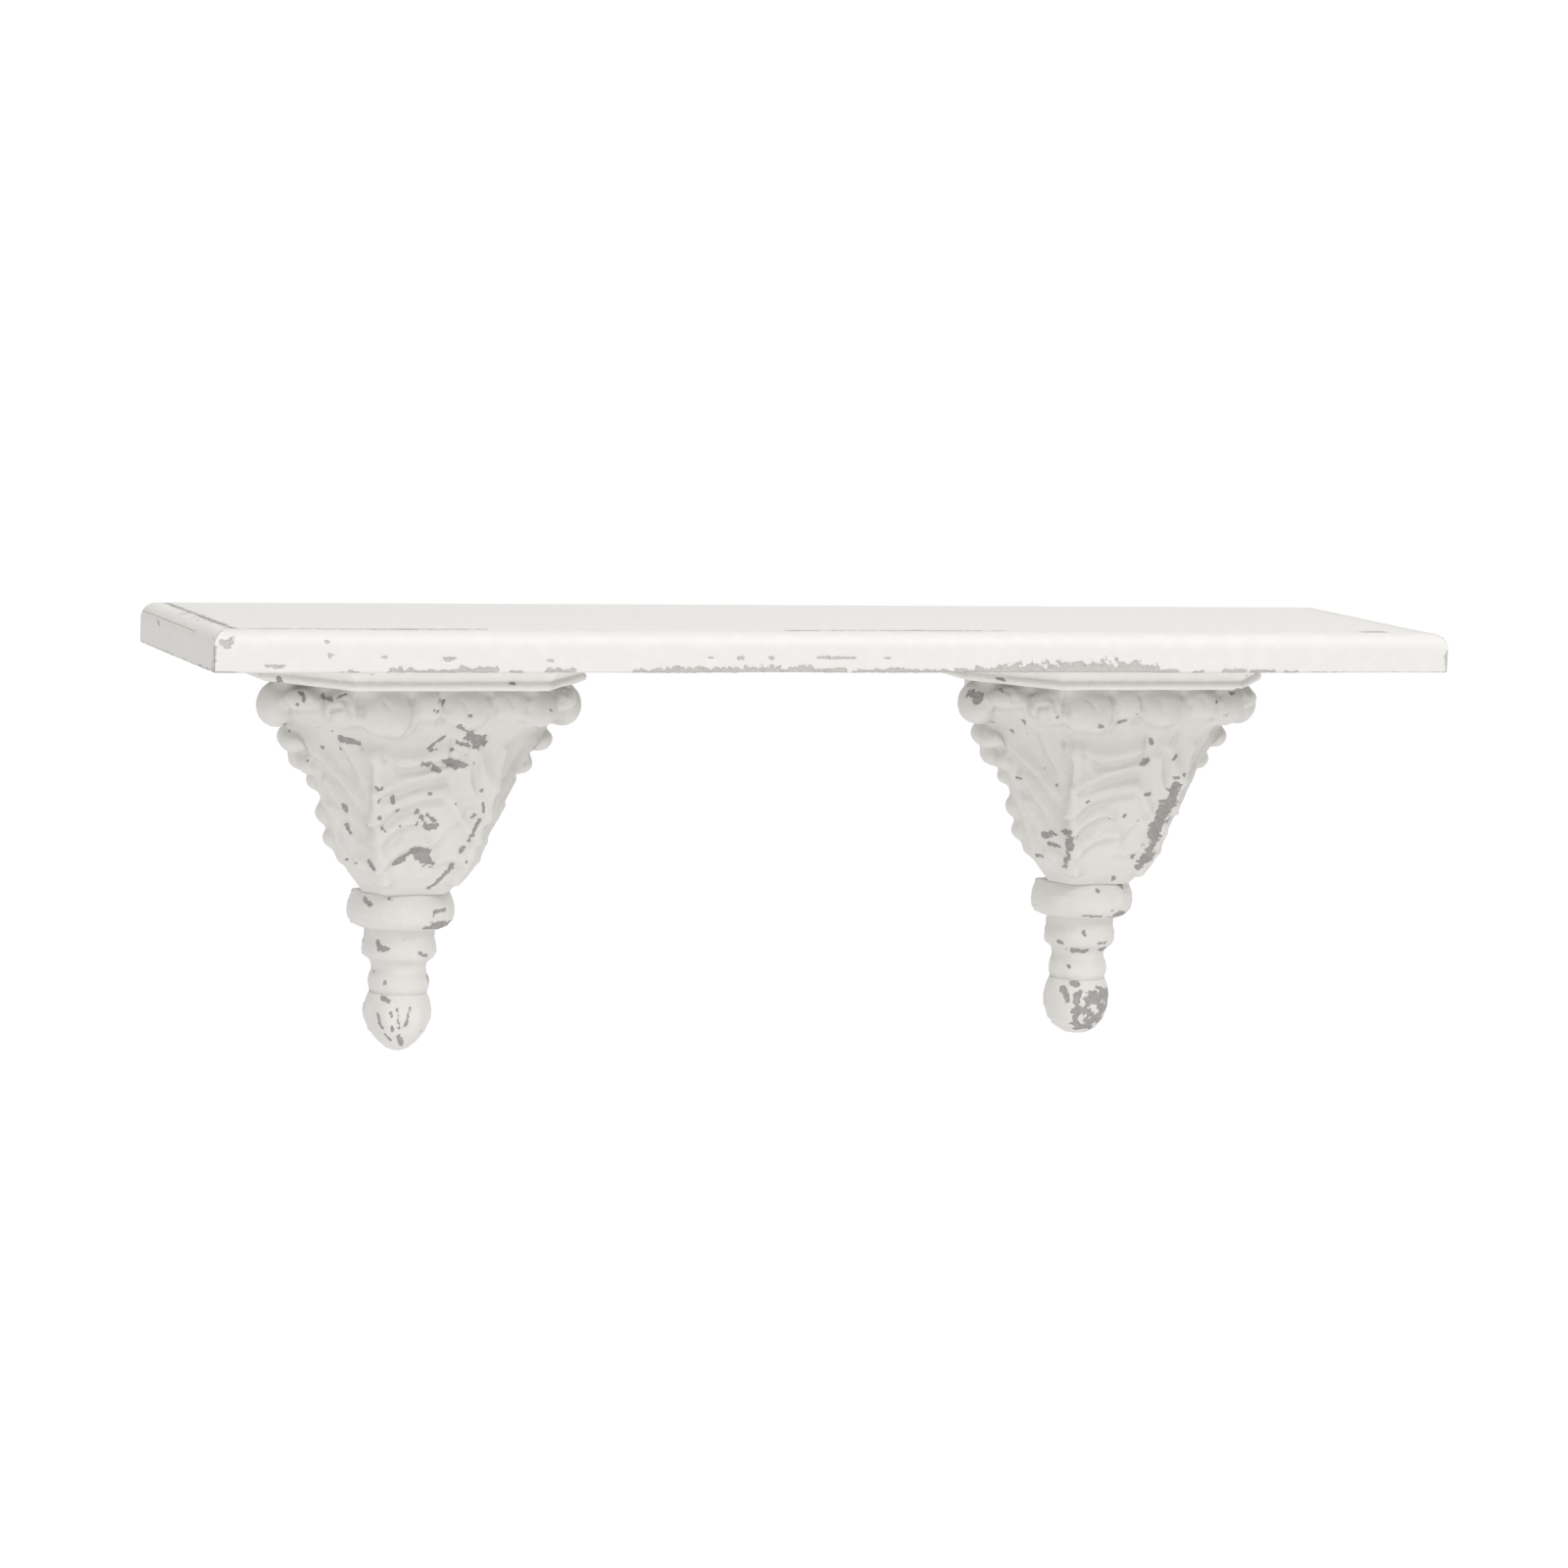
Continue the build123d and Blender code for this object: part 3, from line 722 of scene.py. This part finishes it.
lobes = mirrored([
    ([(41, 38), (38.5, 60), (36, 78), (31, 96), (26, 112), (21, 126)], 4.5, 2.0),
    ([(37, 82), (45, 72), (54, 58), (68, 44), (80, 38)], 6.5, 3.2),
    ([(35, 95), (44, 86), (52, 74), (60, 62)], 5.5, 2.8),
    ([(32, 107), (41, 100), (49, 90), (55, 79)], 5.5, 2.6),
    ([(29, 118), (38, 111), (45, 102)], 5, 2.2),
    ([(24, 126), (32, 122), (38, 114)], 4.5, 2.0),
    ([(46, 56), (52, 44), (58, 34)], 5, 1.8),
])
lobes += [
    ([(-44, 40), (-28, 45), (-12, 44), (2, 40)], 8, 3.0),
    ([(-37, 66), (-27, 60), (-12, 55), (8, 50)], 5, 2.2),
    ([(-36, 82), (-27, 74), (-12, 68), (5, 66)], 6, 2.8),
    ([(-33, 97), (-25, 89), (-15, 84), (-8, 86)], 5.5, 2.6),
    ([(-27, 112), (-19, 103), (-10, 98), (0, 99)], 6, 2.4),
    ([(35, 62), (28, 50), (23, 38)], 6, 2.4),
    ([(35, 80), (28, 70), (20, 58), (17, 46)], 5, 2.0),
    ([(31, 98), (24, 89), (16, 80), (12, 72)], 5, 2.0),
    ([(26, 113), (18, 108), (8, 112)], 5.5, 2.0),
]
grooves = mirrored([
    ([(41, 84), (49, 74), (57, 62), (70, 51)], 2.2, -1.6), ([(38, 97), (47, 88), (56, 76)], 2.0, -1.4),
    ([(35, 109), (45, 101), (52, 91)], 2.0, -1.3), ([(43, 70), (52, 56), (66, 41)], 1.2, -0.7),
    ([(40, 84), (48, 76), (55, 66)], 1.0, -0.5),
])
grooves += [
    ([(-50, 37), (-36, 44), (-25, 53), (-10, 51), (7, 46), (7, 32)], 1.9, -1.8),
    ([(-33, 71), (-14, 63), (6, 59)], 1.8, -1.4),
    ([(-31, 89), (-22, 81), (-8, 76), (4, 74)], 1.9, -1.7),
    ([(-28, 104), (-19, 95), (-12, 89), (-14, 101)], 1.7, -1.6),
    ([(-24, 119), (-14, 109), (-4, 104)], 2.0, -1.4), ([(-30, 45), (-14, 47), (2, 44)], 1.1, -0.6),
    ([(-29, 60), (-12, 57), (6, 53)], 1.0, -0.5), ([(-28, 75), (-14, 69), (2, 67)], 1.1, -0.7),
    ([(29, 30), (23, 42), (24, 56), (27, 68)], 2.0, -1.7), ([(17, 34), (15, 44), (19, 58)], 1.5, -1.0),
    ([(24, 78), (16, 90), (8, 102), (2, 118)], 1.8, -1.2),
    ([(-38, 54), (-39, 62), (-36, 68)], 1.4, -1.2), ([(-44, 56), (-41, 64), (-36, 68)], 1.4, -1.0),
    ([(-73, 4), (-65, 6), (-62, 14), (-66, 21), (-74, 19), (-74, 12), (-69, 11)], 1.6, -1.9),
    ([(-55, 4), (-56, 14), (-52, 26)], 2.2, -2.2),
    ([(-24, 3), (-21, 12), (-22, 22), (-26, 28)], 2.0, -2.0),
    ([(-4, 4), (-2, 12), (-5, 22)], 2.0, -1.9), ([(26, 3), (29, 10), (26, 20), (20, 26)], 2.1, -2.0),
    ([(52, 3), (50, 12), (47, 22)], 2.0, -1.8), ([(-42, 6), (-36, 13), (-42, 24)], 1.5, -0.8),
    ([(8, 6), (12, 14), (8, 23)], 1.4, -0.7), ([(38, 4), (42, 11), (39, 18)], 1.4, -0.7),
    ([(-86, 3), (-84, 10), (-86, 18)], 2.2, -1.6), ([(84, 3), (82, 10), (84, 18)], 2.2, -1.6),
]
# chips: from x, depth to x, depth, and the radius
bell_marks = {
    "left": [
        (-86, 4, -85, 8, 1.4), (-74, 5, -72, 7, 1.3), (-69, 5, -64, 3, 1.0), (-89, 11, -89, 12, 1.0),
        (-90, 26, -84, 32, 1.1), (-72, 50, -72, 50, 1.0), (-66, 40, -66, 40, 1.1),
        (-66, 63, -63, 64, 2.3), (-51, 77, -50, 81, 1.7), (-47, 90, -45, 95, 1.1),
        (-48, 102, -48, 102, 0.9), (-43, 114, -40, 114, 0.9), (-34, 112, -31, 118, 1.3),
        (-60, 33, -50, 35, 1.9), (-3, 6, -8, 13, 0.8), (-6, 6, -10, 12, 0.8), (13, 15, 13, 15, 1.1),
        (19, 30, 25, 33, 3.8), (7, 22, 15, 27, 1.2), (9, 33, 18, 36, 1.2), (1, 29, -9, 37, 0.8),
        (-11, 47, -1, 51, 2.1), (3, 45, 14, 48, 2.3), (-8, 38, 8, 38, 0.9), (-5, 66, -4, 66, 1.0),
        (-39, 62, -36, 72, 0.9), (-36, 62, -35, 70, 0.8), (-27, 69, -27, 72, 1.3),
        (-23, 77, -23, 78, 1.0), (-35, 82, -35, 82, 1.3), (-7, 82, -2, 90, 1.0), (-3, 80, 3, 85, 1.0),
        (0, 89, 4, 88, 1.8), (-29, 101, -29, 101, 1.1), (-6, 103, 0, 111, 3.4), (-1, 105, 3, 113, 3.0),
        (-18, 112, -13, 110, 2.0), (-12, 108, -8, 105, 1.1), (31, 84, 26, 98, 1.2),
        (24, 102, 18, 115, 1.1), (18, 116, 12, 126, 1.3), (14, 124, 7, 131, 1.0),
        (26, 111, 26, 112, 1.1), (29, 64, 29, 65, 1.0), (28, 81, 27, 83, 1.0), (31, 73, 32, 79, 0.9)],
    "right": [
        (-102, 8, -97, 9, 2.7), (-100, 12, -99, 13, 1.8), (-105, 4, -100, 4, 1.0),
        (-89, 3, -89, 4, 1.1), (-71, 24, -69, 26, 1.4), (-88, 33, -84, 33, 1.0),
        (-62, 64, -62, 65, 1.0), (-45, 66, -45, 67, 0.9), (-72, 32, -71, 33, 1.0),
        (-33, 23, -31, 24, 1.3), (-17, 22, -13, 21, 1.4), (9, 33, 11, 36, 1.2), (4, 52, 10, 47, 1.7),
        (27, 47, 29, 45, 1.2), (37, 57, 37, 58, 1.0), (3, 86, 3, 87, 1.1), (-9, 88, -9, 88, 1.0),
        (14, 90, 14, 90, 0.9), (12, 71, 16, 71, 1.1), (-58, 96, -55, 98, 1.9),
        (-44, 101, -36, 97, 2.0), (-36, 97, -33, 105, 2.3), (-32, 104, -30, 121, 2.2),
        (-40, 107, -36, 108, 1.5), (-42, 117, -40, 117, 1.3), (-29, 100, -29, 101, 1.2),
        (15, 114, 15, 116, 1.2), (33, 65, 33, 72, 2.6), (33, 70, 31, 80, 4.2), (29, 76, 27, 84, 3.0),
        (30, 84, 26, 94, 3.9), (27, 92, 24, 99, 3.0), (27, 99, 24, 112, 3.6), (25, 112, 21, 122, 2.6),
        (7, 130, 8, 132, 1.4), (49, 7, 49, 8, 1.0), (62, 3, 66, 3, 1.2)],
}
bm = bmesh.new()
bell_counts = (6, 12, 24, 12, 6, 30)
past_wall, wall_tuck = 8, 9
rings = []
for h, wide, cant, front, depth in reversed(bell_levels):
    plan = [(x * MM, y * MM) for x, y in half_octagon(wide, cant, front, depth, past_wall, wall_tuck)]
    rings.append(ring(plan, -h * MM, bell_counts))
stack(bm, rings)
for x, y, h, *sizes in top_rolls:
    blob(bm, (x, y, -h), sizes)
for side in (-1, 1):
    for x, y, h, r, thick in edge_tips:
        blob(bm, (side * x, y, -h), (r, thick, r * 0.85))
pattern = finish_mesh(bm, "corbel_pattern")
remesh(pattern, rough_step)
soften(pattern, 14)
carve(pattern, lobes, 1.5)
carve(pattern, grooves, 1.2)
soften(pattern, 2)
pattern_places = points_of(pattern) + np.array([0, 0, abacus_under])

for side_name, centre in corbel_x.items():
    seed = 21 if side_name == "left" else 27
    mesh = pattern.data.copy()
    cast = bpy.data.objects.new(side_name + "_casting", mesh)
    bpy.context.scene.collection.objects.link(cast)
    move_points(cast, pattern_places + np.array([centre, 0, 0]))
    hand_work(cast, 1.2 * MM, 16 * MM, seed)
    hand_work(cast, 0.4 * MM, 5 * MM, seed + 1)
    hollows(cast)
    bpy.context.view_layer.update()
    wear_away(cast, face_marks_on(cast, centre, abacus_under, bell_marks[side_name]), 0.4 * MM)
    halves = {}
    for part_name, back in (("carving", -back_board), ("backing", 0.0)):
        bm = bmesh.new()
        bm.from_mesh(cast.data)
        cut(bm, Vector((0, 0, abacus_under)), Vector((0, 0, 1)), clear=True)
        cut(bm, Vector((0, 0, bell_under)), Vector((0, 0, -1)), clear=True)
        cut(bm, Vector((0, back, 0)), Vector((0, 1, 0)), clear=True)
        if part_name == "backing":
            cut(bm, Vector((0, -back_board, 0)), Vector((0, -1, 0)), clear=True)
        halves[part_name] = finish_mesh(bm, side_name + "_" + part_name)
    bpy.data.objects.remove(cast)
    plate_low, plate_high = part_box(side_name + "_hanger_plate")
    middle, half = (plate_low + plate_high) / 2, (plate_high - plate_low) / 2
    tools = []
    plate_recess = (half.x + plate_gap, half.z + plate_gap, -2 * half.y, 0.0)
    head_pocket = (pocket_wide, pocket_high, -back_board - MM, pocket_drop)
    for wide, high, front, drop in (plate_recess, head_pocket):
        bm = bmesh.new()
        outline = []
        for k in range(recess_sides):
            turn = math.tau * k / recess_sides
            up = math.copysign(max(high - wide, 0), math.sin(turn))
            outline.append((wide * math.cos(turn), up + wide * math.sin(turn)))
        stack(bm, [[Vector((centre + a, y, middle.z + drop + b)) for a, b in outline]
                   for y in (front, MM)])
        tools.append(finish_mesh(bm, "recess_cutter"))
    carve_out(halves["backing"], tools)
    dress(halves["carving"], corbel_paint, "corbel_paint", side_name + "_bell")
    dress(halves["backing"], corbel_paint, "corbel_paint", side_name + "_back_board")
bpy.data.objects.remove(pattern)


# ------------------------------------------------------------------ turned drop
# Under the bell hang three turned pieces on one dowel, sawn off flat at the wall: a
# fat round collar, a drop with two beads and a waist, and a bud-shaped finial. The
# left bud is pointed with shallow petals; the right one is round and badly worn.

turning_axis = -5 * MM
turned_sides = 120
turned_step = 1.2


def turned(name, outline, centre, seed, petals=0.0):
    """A solid turned from (radius, level) points in millimetres, sawn off at the wall.
    Petals is how far six shallow ridges down its length stand out, as a share of the radius."""
    bm = bmesh.new()
    fine = []
    for (r0, z0), (r1, z1) in zip(outline, outline[1:]):
        count = max(1, round(math.hypot(r1 - r0, z1 - z0) / turned_step))
        fine += [(r0 + (r1 - r0) * k / count, z0 + (z1 - z0) * k / count) for k in range(count)]
    fine.append(outline[-1])
    top, foot = outline[0][1], outline[-1][1]
    rings = []
    for radius, level in fine:
        share = (top - level) / (top - foot)
        one = []
        for k in range(turned_sides):
            turn = math.tau * k / turned_sides
            swell = 1 + petals * math.cos(6 * turn + 0.7) * math.sin(math.pi * min(1, share * 1.15))
            x = centre + radius * swell * math.cos(turn) * MM
            one.append(Vector((x, turning_axis + radius * swell * math.sin(turn) * MM, level * MM)))
        rings.append(one)
    stack(bm, list(reversed(rings)))
    cut(bm, Vector((0, 0, 0)), Vector((0, 1, 0)), clear=True)
    piece = finish_mesh(bm, name)
    flat = points_of(piece)
    hand_work(piece, 1.6 * MM, 20 * MM, seed)
    hand_work(piece, 0.5 * MM, 6 * MM, seed + 1)
    places = points_of(piece)
    places[:, 1] = np.where(flat[:, 1] > -1e-6, 0, np.minimum(places[:, 1], 0))
    places[:, 2] = flat[:, 2]
    move_points(piece, places)
    hollows(piece)
    bpy.context.view_layer.update()
    return piece


collar_outline = [(30, -167.7), (31.2, -168.3), (33, -171.8), (34.6, -176.5), (35.1, -181.5),
                  (34.2, -186.2), (31, -189.8), (27, -191.6), (24, -192.3)]
drop_outline = [(23, -192.3), (22.8, -195), (22.9, -198.6), (24.2, -203), (24.7, -207.2),
                (23.2, -210.4), (20.6, -212.4), (18.6, -214.6), (17.8, -217.6), (18.2, -220.4),
                (19.6, -223), (20.4, -226.6), (20, -230.4), (18.8, -232.8), (18.6, -233.8)]
bud_outlines = {
    "left": [(19, -233.8), (19.6, -234.6), (21.2, -239), (22.2, -245), (21.4, -251), (18.4, -258.6),
             (13.4, -265), (8, -269.4), (3, -271.2)],
    "right": [(19, -233.8), (19.8, -234.6), (21.6, -239), (22.6, -246), (22, -253), (19.4, -260.6),
              (14.4, -266.8), (8.5, -270.3), (3, -271.3)],
}
collar_marks = {
    "left": [(-28, 139, -26, 142, 1.6), (-16, 138, -15, 139, 1.0), (12, 155, 28, 156, 3.2),
             (13, 146, 22, 146, 1.0), (12, 147, 11, 153, 1.0), (7, 157, 9, 157, 1.2)],
    "right": [(-3, 140, -1, 140, 1.2), (-12, 156, 2, 157, 1.0), (2, 157, 13, 158, 1.0),
              (14, 156, 30, 156, 2.6), (8, 153, 9, 153, 0.9)],
}
drop_marks = {
    "left": [(-18, 169, -15, 172, 2.2), (7, 174, 12, 176, 1.0), (-17, 188, -17, 188, 0.9),
             (-13, 193, -13, 194, 0.9), (16, 191, 17, 195, 1.2)],
    "right": [(-7, 169, -6, 170, 1.2), (-11, 181, -2, 181, 2.0), (9, 181, 15, 181, 1.9),
              (4, 176, 10, 176, 0.9), (-20, 176, -18, 177, 1.0), (-13, 192, -12, 193, 1.2)],
}
bud_marks = {
    "left": [(-14, 203, -11, 205, 1.3), (2, 209, 0, 220, 1.0), (-10, 212, -8, 224, 0.9),
             (-6, 210, -4, 222, 0.8), (-17, 214, -14, 222, 1.1), (-3, 228, 0, 234, 1.4),
             (-12, 226, -8, 231, 0.9)],
    "right": [(-10, 203, -8, 204, 1.9), (-16, 208, -14, 214, 1.8), (-8, 211, -7, 230, 2.6),
              (-1, 214, 8, 213, 3.6), (10, 210, 18, 213, 4.0), (15, 211, 16, 221, 3.6),
              (9, 220, 14, 222, 2.8), (0, 229, 9, 228, 3.2), (8, 225, 12, 223, 2.6),
              (-5, 232, 4, 234, 3.2), (-3, 221, 3, 224, 2.2), (13, 226, 11, 230, 1.6)],
}
for side_name, centre in corbel_x.items():
    seed = 41 if side_name == "left" else 53
    collar = turned(side_name + "_round_collar", collar_outline, centre, seed)
    wear_away(collar, face_marks_on(collar, centre, abacus_under, collar_marks[side_name]), 0.35 * MM)
    dress(collar, corbel_paint, "corbel_paint", side_name + "_collar")
    drop = turned(side_name + "_turned_drop", drop_outline, centre, seed + 2)
    wear_away(drop, face_marks_on(drop, centre, abacus_under, drop_marks[side_name]), 0.3 * MM)
    dress(drop, corbel_paint, "corbel_paint", side_name + "_drop")
    petals = 0.035 if side_name == "left" else 0.01
    bud = turned(side_name + "_bud", bud_outlines[side_name], centre, seed + 4, petals)
    wear_away(bud, face_marks_on(bud, centre, abacus_under, bud_marks[side_name]), 0.3 * MM)
    dress(bud, corbel_paint, "corbel_paint", side_name + "_finial")


# ------------------------------------------------------------------ metal and dowels
# The hanger plates and all screws are zinc-plated steel, dull and a little streaked.
# The dowels are plain pale beech. None of it is painted, and most of it is hidden.

n = Nodes("zinc_steel")
spangle = n.noise(3 * MM, detail=2)
streaks = n.noise(1.2 * MM, detail=4, stretch=(1, 1, 0.15), shift=2.0)
n.link(n.mix(n.step(spangle, 0.35, 0.65), (0.55, 0.56, 0.57, 1), (0.66, 0.66, 0.655, 1)),
       n.shader.inputs["Base Color"])
n.link(n.math("ADD", 0.28, n.math("MULTIPLY", streaks, 0.3)), n.shader.inputs["Roughness"])
n.link(n.bump(streaks, 0.05 * MM, 0.4), n.shader.inputs["Normal"])
n.shader.inputs["Metallic"].default_value = 1.0
zinc_steel = n.material

n = Nodes("bare_wood")
grain = n.noise(1.1 * MM, detail=5, stretch=(1, 1, 0.08), shift=1.0)
flecks = n.noise(2.5 * MM, detail=2, stretch=(1, 1, 0.3), shift=5.0)
wood = n.mix(n.step(grain, 0.3, 0.7), (0.62, 0.44, 0.27, 1), (0.74, 0.57, 0.38, 1))
n.link(n.mix(n.step(flecks, 0.6, 0.72), wood, (0.5, 0.34, 0.2, 1)), n.shader.inputs["Base Color"])
n.link(n.math("ADD", 0.5, n.math("MULTIPLY", grain, 0.2)), n.shader.inputs["Roughness"])
n.link(n.bump(grain, 0.1 * MM, 0.4), n.shader.inputs["Normal"])
bare_wood = n.material

for side_name in corbel_x:
    for node, material in (("abacus_screws", zinc_steel), ("hanger_screws", zinc_steel),
                           ("hanger_plate", zinc_steel), ("bell_dowels", bare_wood),
                           ("drop_dowel", bare_wood)):
        piece = bpy.data.objects[side_name + "_" + node]
        piece.data.materials.clear()
        piece.data.materials.append(material)


# ------------------------------------------------------------------ set
# A plain pale floor well below the hung shelf, soft studio light and the camera.

floor_size = 200.0
floor_level = cad_box[0].z - 1.8
bm = bmesh.new()
bmesh.ops.create_grid(bm, x_segments=1, y_segments=1, size=floor_size / 2)
bmesh.ops.translate(bm, vec=Vector((0, 0, floor_level)), verts=bm.verts[:])
floor = finish_mesh(bm, "floor")
n = Nodes("pale_floor")
n.shader.inputs["Base Color"].default_value = (0.95, 0.95, 0.95, 1)
n.shader.inputs["Roughness"].default_value = 0.9
floor.data.materials.append(n.material)


def soft_light(name, place, target, size, power):
    """A large square studio light that faces the target."""
    lamp = bpy.data.lights.new(name, "AREA")
    lamp.size, lamp.energy = size, power
    light = bpy.data.objects.new(name, lamp)
    light.location = place
    light.rotation_euler = (Vector(target) - Vector(place)).to_track_quat("-Z", "Y").to_euler()
    bpy.context.scene.collection.objects.link(light)


soft_light("key", (0.7, -2.1, 2.3), (0, -0.05, -0.1), 1.6, 60)
soft_light("fill", (-1.2, -2.9, -0.6), (0, -0.05, -0.1), 2.0, 22)
world = bpy.data.worlds.new("studio")
bpy.context.scene.world = world
world.use_nodes = True
world.node_tree.nodes["Background"].inputs["Color"].default_value = (1, 1, 1, 1)
world.node_tree.nodes["Background"].inputs["Strength"].default_value = 1.08
bpy.context.scene.view_settings.view_transform = "Standard"

camera_data = bpy.data.cameras.new("camera")
camera_data.sensor_width = 36
camera_data.lens = 122.1
camera_data.clip_end = 400
camera = bpy.data.objects.new("camera", camera_data)
bpy.context.scene.collection.objects.link(camera)
camera.location = (-1.2, -3.2, 0.31)
yaw, pitch, roll = math.radians(20.92), math.radians(6.89), math.radians(2.16)
forward = Vector((math.sin(yaw) * math.cos(pitch), math.cos(yaw) * math.cos(pitch), -math.sin(pitch)))
level = Vector((math.cos(yaw), -math.sin(yaw), 0))
upright = level.cross(forward)
right = level * math.cos(roll) + upright * math.sin(roll)
up = upright * math.cos(roll) - level * math.sin(roll)
camera.rotation_euler = Matrix((right, up, -forward)).transposed().to_euler()
bpy.context.scene.camera = camera
